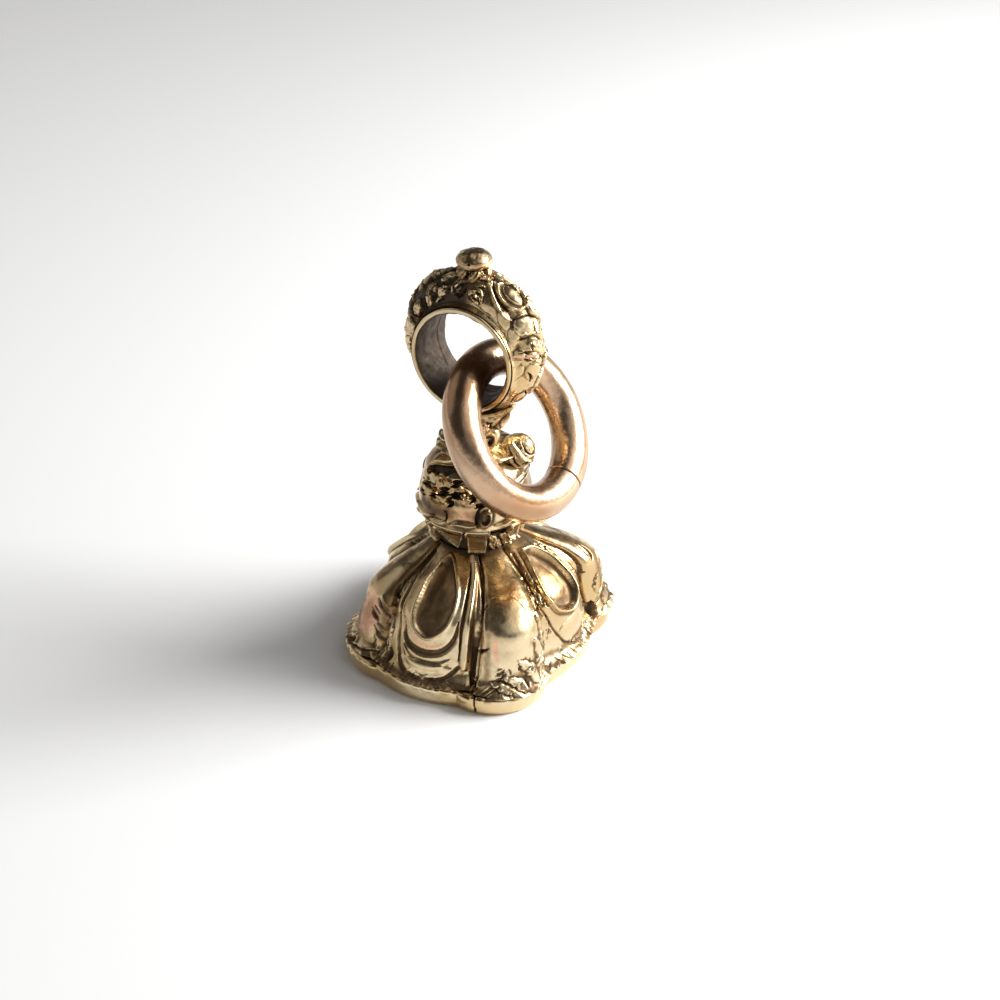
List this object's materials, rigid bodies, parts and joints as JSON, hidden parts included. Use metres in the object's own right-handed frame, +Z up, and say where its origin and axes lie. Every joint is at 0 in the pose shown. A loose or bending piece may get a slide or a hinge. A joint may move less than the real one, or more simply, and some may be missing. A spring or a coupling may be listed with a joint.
{
  "type": "watch fob seal",
  "caption": "Small gold-cased fob seal with a lobed foot holding a plain downward stone, a leafy bulb stem, a carved loop with a ball finial and a free jump ring.",
  "frame": {"origin": "on the floor under the middle of the foot", "axes": "+Z up through the stem and the loop, +Y along the loop's bore and the longer side of the foot, +X to the side on which the jump ring rests"},
  "size_m": [0.0122, 0.0136, 0.022],
  "materials": {
    "casing_gold": "stamped and worn yellow gold case, dark in the grooves",
    "carved_gold": "chased yellow gold, blackened in the relief",
    "plain_gold": "smooth worn yellow gold",
    "rose_gold": "polished rose gold with fine scuffs",
    "seal_stone": "polished red-brown hardstone, plain face",
    "setting_cement": "matt setting cement",
    "hard_filler": "dull brown filling",
    "post_brass": "plain drawn wire"
  },
  "bodies": {
    "seal": {"casing_left": "casing_gold", "casing_right": "casing_gold", "rim_band": "casing_gold", "base_plate": "plain_gold", "stone_bezel": "plain_gold", "seal_stone": "seal_stone", "stone_cement": "setting_cement", "core_filler": "hard_filler", "stem_post": "post_brass", "leaf_collar": "carved_gold", "bulb_cup": "carved_gold", "bulb_dome": "plain_gold", "loop_foot": "carved_gold", "shoulder_leaf_right": "carved_gold", "shoulder_leaf_left": "carved_gold", "loop_liner": "plain_gold", "loop_band_upper": "carved_gold", "loop_band_lower": "carved_gold", "finial_collar": "carved_gold", "finial_ball": "plain_gold"},
    "ring": {"jump_ring": "rose_gold"}
  },
  "joints": [
    {"name": "ring_swing", "type": "hinge", "parent": "seal", "child": "ring", "pos_m": [0, 0, 0.01673], "axis": [0, -1, 0], "range_deg": [0, 296]}
  ]
}
